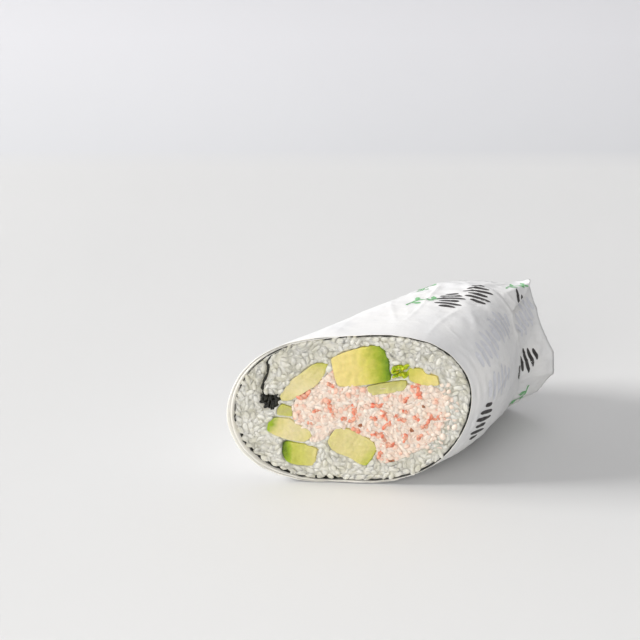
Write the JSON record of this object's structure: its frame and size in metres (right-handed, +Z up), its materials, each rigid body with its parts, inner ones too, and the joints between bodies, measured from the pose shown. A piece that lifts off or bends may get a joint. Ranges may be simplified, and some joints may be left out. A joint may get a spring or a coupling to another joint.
{
  "type": "sushi burrito half",
  "caption": "Half of a sushi burrito, cut on the slant, in folded white paper: nori and rice round crab salad, avocado, cucumber and lettuce.",
  "frame": {"origin": "middle of the footprint, at table level", "axes": "+Y along the roll from the cut towards the folded end of the paper, +Z up, +X to the right as seen facing the cut"},
  "size_m": [0.0698, 0.1206, 0.0586],
  "materials": {
    "white_paper": "thin waxed food paper, matte white",
    "toasted_nori": "toasted seaweed sheet, near black, softly shiny",
    "sushi_rice": "moist cooked white rice, slightly translucent",
    "crab_and_mayo": "moist shredded crab stick in mayonnaise, white and orange-red",
    "avocado_flesh": "buttery avocado flesh, yellow turning green at the skin side",
    "lettuce_green": "crisp thin leaf, bright green",
    "cucumber_flesh": "wet cucumber flesh, pale green with a darker rind edge"
  },
  "bodies": {
    "root": {"paper_wrap": "white_paper", "nori_sheet": "toasted_nori", "rice": "sushi_rice", "crab_salad": "crab_and_mayo", "avocado_wedge": "avocado_flesh", "avocado_tip": "avocado_flesh", "lettuce_leaf": "lettuce_green", "cucumber_1": "cucumber_flesh", "cucumber_2": "cucumber_flesh", "cucumber_3": "cucumber_flesh", "cucumber_4": "cucumber_flesh", "cucumber_5": "cucumber_flesh", "cucumber_6": "cucumber_flesh"}
  },
  "joints": []
}
